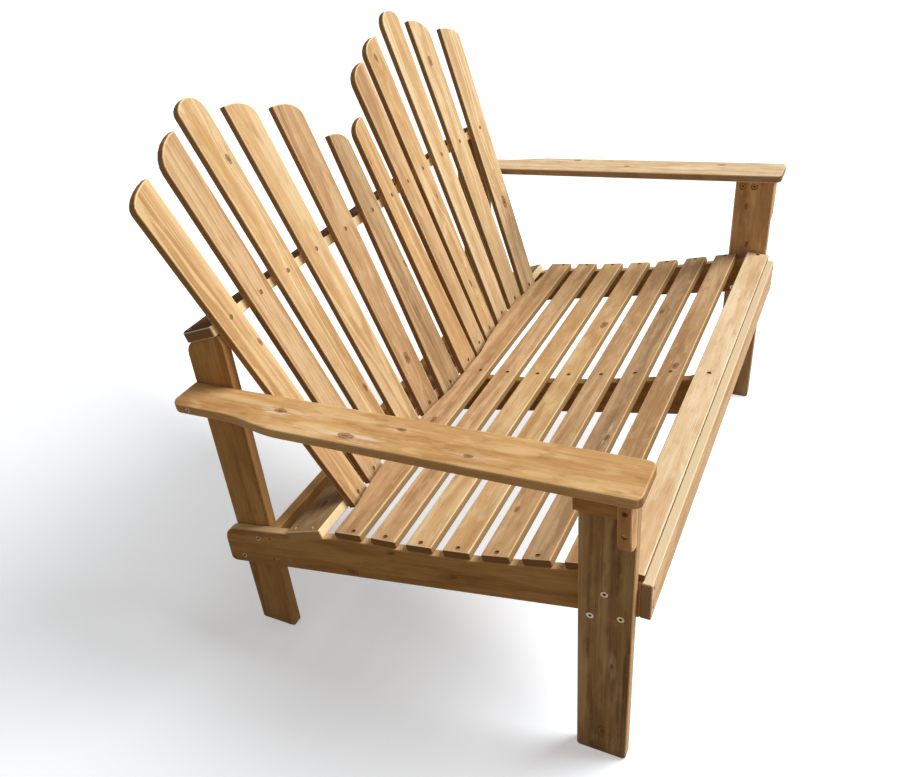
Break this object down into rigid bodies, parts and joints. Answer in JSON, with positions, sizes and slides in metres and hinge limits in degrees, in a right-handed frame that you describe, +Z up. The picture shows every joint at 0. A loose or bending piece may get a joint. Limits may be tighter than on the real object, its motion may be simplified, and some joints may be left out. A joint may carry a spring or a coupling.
{
  "type": "adirondack loveseat",
  "caption": "Wooden Adirondack loveseat: a sloping slatted seat, a back of two fans of slats, flat arms and plank legs, held by screws and bolts.",
  "frame": {"origin": "on the floor under the middle of the whole object", "axes": "+Z up, +X across the seat to the viewer's right from the front, -Y towards the front, where the sitter looks"},
  "size_m": [1.2576, 0.8563, 0.9807],
  "materials": {
    "seat_wood": "oiled honey-brown hardwood, satin",
    "frame_wood": "oiled dark brown hardwood, satin",
    "fasteners": "yellow-plated steel bolts and screws"
  },
  "bodies": {
    "root": {"apron": "seat_wood", "arm_bracket_left": "frame_wood", "arm_bracket_right": "frame_wood", "arm_cleat_left": "frame_wood", "arm_cleat_right": "frame_wood", "arm_left": "seat_wood", "arm_right": "seat_wood", "arm_screw_left": "fasteners", "arm_screw_right": "fasteners", "back_leg_bolt_left_1": "fasteners", "back_leg_bolt_left_2": "fasteners", "back_leg_bolt_right_1": "fasteners", "back_leg_bolt_right_2": "fasteners", "back_leg_left": "frame_wood", "back_leg_right": "frame_wood", "back_slat_left_1": "seat_wood", "back_slat_left_2": "seat_wood", "back_slat_left_3": "seat_wood", "back_slat_left_4": "seat_wood", "back_slat_left_5": "seat_wood", "back_slat_left_6": "seat_wood", "back_slat_right_1": "seat_wood", "back_slat_right_2": "seat_wood", "back_slat_right_3": "seat_wood", "back_slat_right_4": "seat_wood", "back_slat_right_5": "seat_wood", "back_slat_right_6": "seat_wood", "cleat_bolt_left_1": "fasteners", "cleat_bolt_left_2": "fasteners", "cleat_bolt_right_1": "fasteners", "cleat_bolt_right_2": "fasteners", "front_leg_bolt_left_1": "fasteners", "front_leg_bolt_left_2": "fasteners", "front_leg_bolt_left_3": "fasteners", "front_leg_bolt_right_1": "fasteners", "front_leg_bolt_right_2": "fasteners", "front_leg_bolt_right_3": "fasteners", "front_leg_left": "frame_wood", "front_leg_right": "frame_wood", "lower_back_rail": "seat_wood", "middle_rail": "frame_wood", "rear_cross_rail": "frame_wood", "seat_slat_1": "seat_wood", "seat_slat_2": "seat_wood", "seat_slat_3": "seat_wood", "seat_slat_4": "seat_wood", "seat_slat_5": "seat_wood", "seat_slat_6": "seat_wood", "seat_slat_7": "seat_wood", "seat_slat_8": "seat_wood", "side_rail_left": "frame_wood", "side_rail_right": "frame_wood", "upper_back_rail": "seat_wood"}
  },
  "joints": []
}
